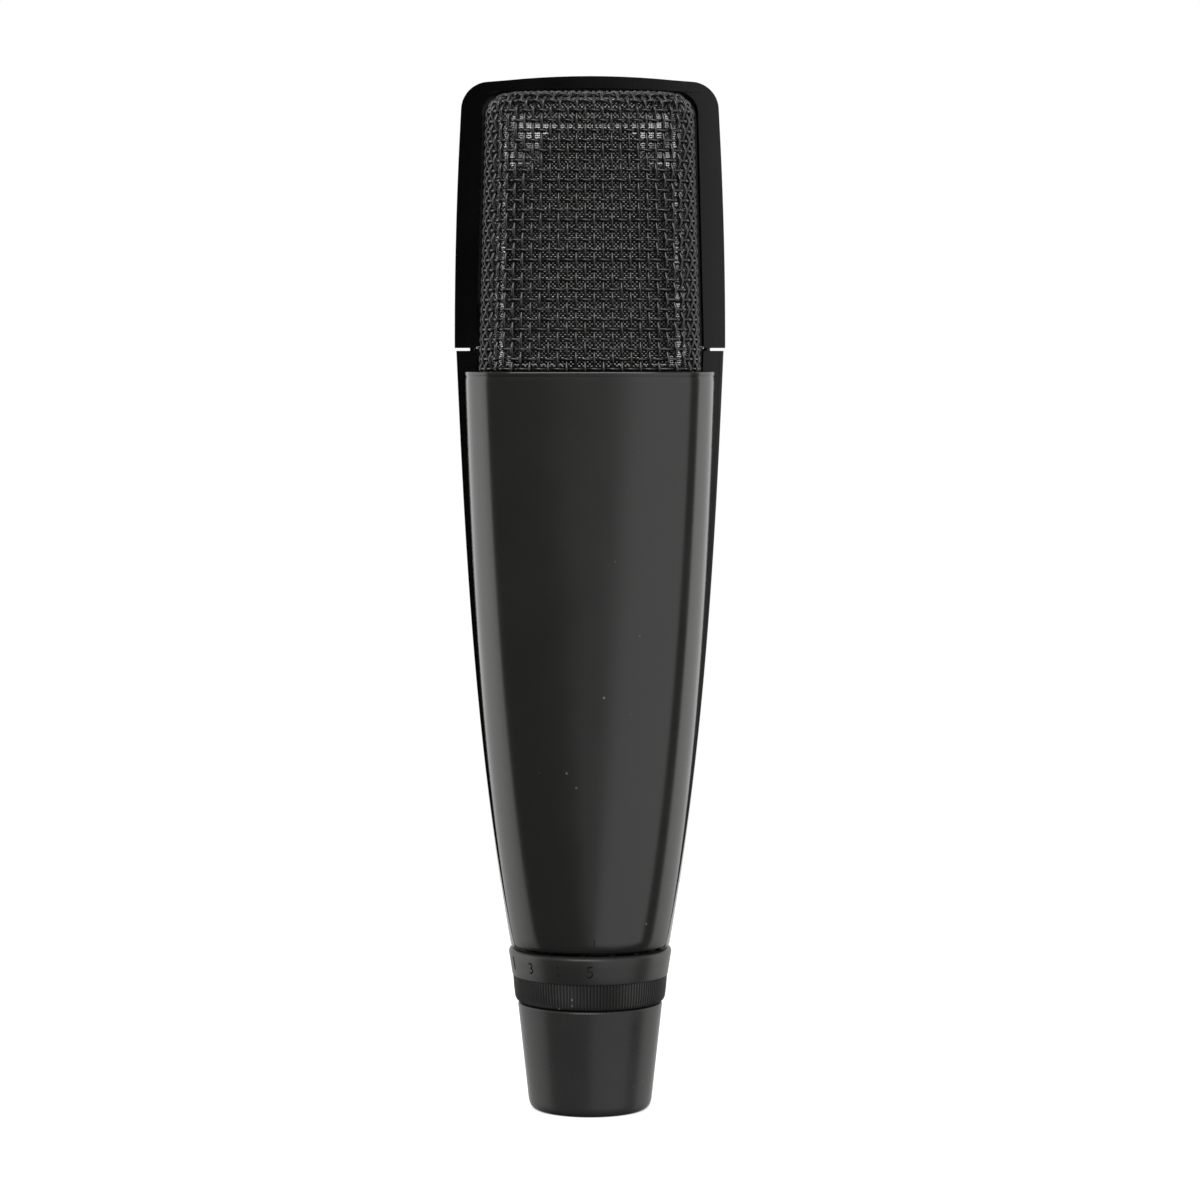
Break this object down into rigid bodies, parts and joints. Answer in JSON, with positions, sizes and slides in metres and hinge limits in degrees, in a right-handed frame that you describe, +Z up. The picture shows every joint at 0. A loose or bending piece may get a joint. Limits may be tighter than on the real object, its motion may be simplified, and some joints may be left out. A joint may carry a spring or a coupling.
{
  "type": "microphone",
  "caption": "Tapered hand-held moving-coil microphone standing on its cable socket, with a lift-off woven wire basket and a bass selector ring.",
  "frame": {"origin": "middle of the foot, on the microphone's long axis, in the plane it stands on", "axes": "+Z up along the microphone, -Y to the front, +X to the right seen from the front"},
  "size_m": [0.0484, 0.0459, 0.187],
  "materials": {
    "grey_shell": "satin charcoal-grey lacquer over moulded plastic",
    "black_plastic": "satin black moulding",
    "selector_plastic": "satin black, ribbed lower band, engraved marks",
    "black_mesh": "woven steel wire, satin black",
    "fine_mesh": "fine woven gauze, dark with bright wire crests",
    "black_metal": "fine satin black",
    "steel": "zinc-plated pressing",
    "screw_steel": "turned steel",
    "nickel": "nickel plate",
    "magnet": "dark ferrite",
    "copper": "enamelled copper wire",
    "film": "thin polyester film",
    "felt": "pressed wool felt",
    "rubber": "soft rubber",
    "board": "glass-epoxy board",
    "capacitor": "dipped film capacitor",
    "insulator": "moulded insulator",
    "lead_red": "insulated lead",
    "lead_blue": "insulated lead"
  },
  "bodies": {
    "chassis": {"front_shell": "grey_shell", "rear_shell": "grey_shell", "spine": "black_plastic", "clamp_rail": "black_plastic", "capsule_base": "black_plastic", "bass_tube": "black_plastic", "connector_sleeve": "black_metal", "bearing_tube": "black_metal", "capsule_housing": "black_metal", "capsule_cap": "black_metal", "capsule_carrier": "steel", "board_bracket": "steel", "yoke_plate": "steel", "top_plate": "steel", "pole_piece": "steel", "detent_spring": "steel", "rail_screw_lower": "screw_steel", "rail_screw_upper": "screw_steel", "carrier_screw_left": "screw_steel", "carrier_screw_right": "screw_steel", "board_screw_1": "screw_steel", "board_screw_2": "screw_steel", "sleeve_set_screw": "screw_steel", "socket_barrel": "nickel", "contact_pin_1": "nickel", "contact_pin_2": "nickel", "contact_pin_3": "nickel", "diaphragm_ring": "nickel", "ring_magnet": "magnet", "choke_core": "magnet", "hum_coil": "copper", "choke_winding": "copper", "acoustic_felt": "felt", "shock_mount_1": "rubber", "shock_mount_2": "rubber", "shock_mount_3": "rubber", "circuit_board": "board", "switch_wafer": "board", "capacitor_1": "capacitor", "capacitor_2": "capacitor", "socket_insert": "insulator", "capsule_lead_front": "lead_red", "output_lead_hot": "lead_red", "capsule_lead_rear": "lead_blue", "output_lead_cold": "lead_blue"},
    "selector": {"selector_ring": "selector_plastic", "drive_pin": "screw_steel", "switch_rotor": "insulator", "contact_wiper": "nickel"},
    "basket": {"basket_frame": "black_plastic", "front_grille": "black_mesh", "rear_grille": "black_mesh", "front_fine_mesh": "fine_mesh", "rear_fine_mesh": "fine_mesh", "basket_rim": "black_metal"},
    "moving_coil": {"diaphragm": "film", "voice_coil": "copper"},
    "click_ball": {"detent_ball": "screw_steel"}
  },
  "joints": [
    {"name": "bass_selector", "type": "hinge", "parent": "chassis", "child": "selector", "pos_m": [0, 0, 0.02485], "axis": [0, 0, 1], "range_deg": [0, 94]},
    {"name": "basket_lift", "type": "slide", "parent": "chassis", "child": "basket", "axis": [0, 0, 1], "range_m": [0, 0.045]},
    {"name": "diaphragm_travel", "type": "slide", "parent": "chassis", "child": "moving_coil", "axis": [0, 0, 1], "range_m": [-0.00035, 0.00035], "stiffness_N_per_m": 500},
    {"name": "ball_travel", "type": "slide", "parent": "chassis", "child": "click_ball", "axis": [0, 0, -1], "range_m": [0, 0.00025], "stiffness_N_per_m": 300, "springref_m": 0.00025, "deforming": ["detent_spring"]}
  ]
}
